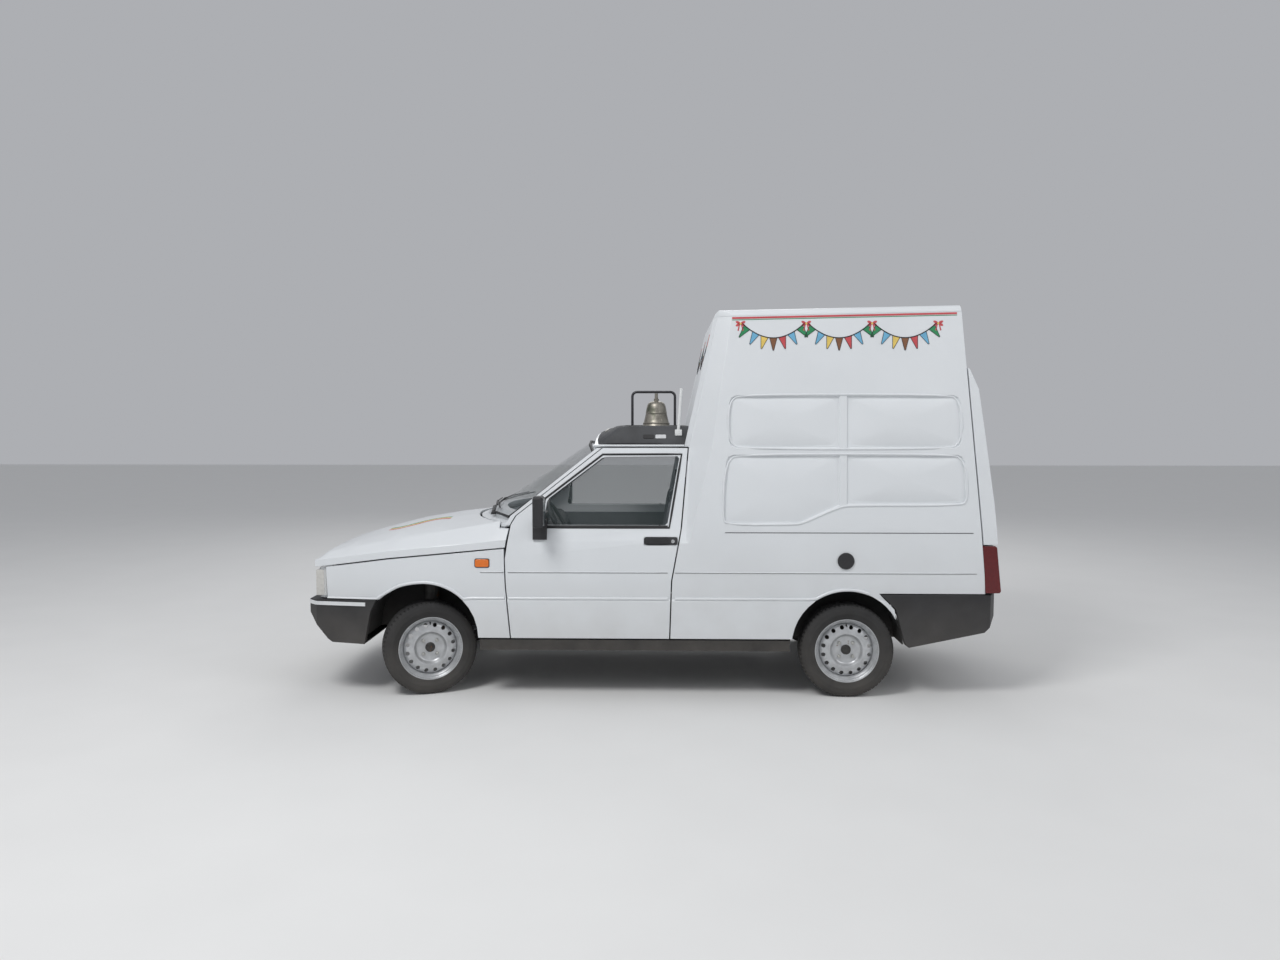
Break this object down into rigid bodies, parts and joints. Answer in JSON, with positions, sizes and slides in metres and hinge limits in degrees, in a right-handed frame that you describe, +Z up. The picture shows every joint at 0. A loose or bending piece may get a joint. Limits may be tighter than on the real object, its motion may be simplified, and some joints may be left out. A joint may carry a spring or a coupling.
{
  "type": "ice cream truck",
  "caption": "Small forward-control van with a tall moulded vending box, rear double doors, a bell on the cab roof, steered front wheels and a hollow cab and load space.",
  "frame": {"origin": "on the ground, half way along the vehicle and on its centre plane", "axes": "+X to the rear, +Y to the vehicle's right, +Z up"},
  "size_m": [4.24, 1.932, 2.4023],
  "materials": {
    "body_white": "gloss",
    "box_white": "satin",
    "black_plastic": "matt",
    "underbody": "matt",
    "chassis_steel": "rough",
    "pipe_steel": "dull",
    "wheel_silver": "satin",
    "tyre_rubber": "matt",
    "window_glass": "clear",
    "lamp_clear": "clear",
    "lamp_red": "gloss",
    "cab_trim": "matt",
    "seat_fabric": "woven",
    "bell_bronze": "aged",
    "frame_dark": "satin",
    "post_white": "satin"
  },
  "bodies": {
    "body": {"cab_shell": "body_white", "floor_pan": "underbody", "wings": "body_white", "front_bumper": "black_plastic", "windscreen": "window_glass", "engine": "chassis_steel", "grille": "black_plastic", "headlamps": "lamp_clear", "dashboard": "cab_trim", "steering_wheel": "cab_trim", "seats": "seat_fabric", "box_sides": "body_white", "box_front": "box_white", "box_roof": "box_white", "rear_frame": "box_white", "rear_bumper": "black_plastic", "tail_lamps": "lamp_red", "wheelhouses": "underbody", "roof_pod": "box_white", "bell_frame": "frame_dark", "bell": "bell_bronze", "signal_post": "post_white", "front_axle": "chassis_steel", "rear_axle": "chassis_steel", "exhaust": "pipe_steel", "fuel_tank": "pipe_steel", "fuel_cap": "black_plastic"},
    "cab_door_left": {"cab_door_left": "body_white", "door_glass_left": "window_glass", "mirror_left": "black_plastic"},
    "cab_door_right": {"cab_door_right": "body_white", "door_glass_right": "window_glass", "mirror_right": "black_plastic"},
    "bonnet": {"bonnet": "body_white"},
    "rear_door_left": {"rear_door_left": "box_white"},
    "rear_door_right": {"rear_door_right": "box_white"},
    "clapper": {"clapper": "bell_bronze"},
    "knuckle_left": {"knuckle_left": "chassis_steel"},
    "knuckle_right": {"knuckle_right": "chassis_steel"},
    "wheel_front_left": {"rim_front_left": "wheel_silver", "tyre_front_left": "tyre_rubber"},
    "wheel_front_right": {"rim_front_right": "wheel_silver", "tyre_front_right": "tyre_rubber"},
    "wheel_rear_left": {"rim_rear_left": "wheel_silver", "tyre_rear_left": "tyre_rubber"},
    "wheel_rear_right": {"rim_rear_right": "wheel_silver", "tyre_rear_right": "tyre_rubber"}
  },
  "joints": [
    {"name": "cab_door_left_hinge", "type": "hinge", "parent": "body", "child": "cab_door_left", "pos_m": [-0.822, -0.796, 0.7], "axis": [0, 0, -1], "range_deg": [0, 65]},
    {"name": "cab_door_right_hinge", "type": "hinge", "parent": "body", "child": "cab_door_right", "pos_m": [-0.822, 0.796, 0.7], "axis": [0, 0, 1], "range_deg": [0, 65]},
    {"name": "bonnet_hinge", "type": "hinge", "parent": "body", "child": "bonnet", "pos_m": [-0.875, 0, 1.068], "axis": [0, 1, 0], "range_deg": [0, 55]},
    {"name": "rear_door_left_hinge", "type": "hinge", "parent": "body", "child": "rear_door_left", "pos_m": [1.9508, -0.79119, 1.42], "axis": [0.0915, -0.0587, -0.9941], "range_deg": [0, 105]},
    {"name": "rear_door_right_hinge", "type": "hinge", "parent": "body", "child": "rear_door_right", "pos_m": [1.9508, 0.79119, 1.42], "axis": [-0.0915, -0.0587, 0.9941], "range_deg": [0, 105]},
    {"name": "steer_left", "type": "hinge", "parent": "body", "child": "knuckle_left", "pos_m": [-1.374, -0.625, 0.283], "axis": [0, 0, 1], "range_deg": [-52, 12]},
    {"name": "steer_right", "type": "hinge", "parent": "body", "child": "knuckle_right", "pos_m": [-1.374, 0.625, 0.283], "axis": [0, 0, 1], "range_deg": [-52, 12]},
    {"name": "wheel_front_left_spin", "type": "hinge", "parent": "knuckle_left", "child": "wheel_front_left", "pos_m": [-1.35108, -0.68796, 0.283], "axis": [-0.342, 0.9397, 0], "continuous": true},
    {"name": "wheel_front_right_spin", "type": "hinge", "parent": "knuckle_right", "child": "wheel_front_right", "pos_m": [-1.39692, 0.68796, 0.283], "axis": [-0.342, 0.9397, 0], "continuous": true},
    {"name": "wheel_rear_left_spin", "type": "hinge", "parent": "body", "child": "wheel_rear_left", "pos_m": [1.203, -0.692, 0.283], "axis": [0, 1, 0], "continuous": true},
    {"name": "wheel_rear_right_spin", "type": "hinge", "parent": "body", "child": "wheel_rear_right", "pos_m": [1.203, 0.692, 0.283], "axis": [0, 1, 0], "continuous": true},
    {"name": "clapper_swing", "type": "hinge", "parent": "body", "child": "clapper", "pos_m": [0.044, 0, 1.772], "axis": [0, 1, 0], "range_deg": [-25, 25]}
  ],
  "couplings": [
    {"joint": "steer_right", "follows": "steer_left", "ratio": 1}
  ]
}
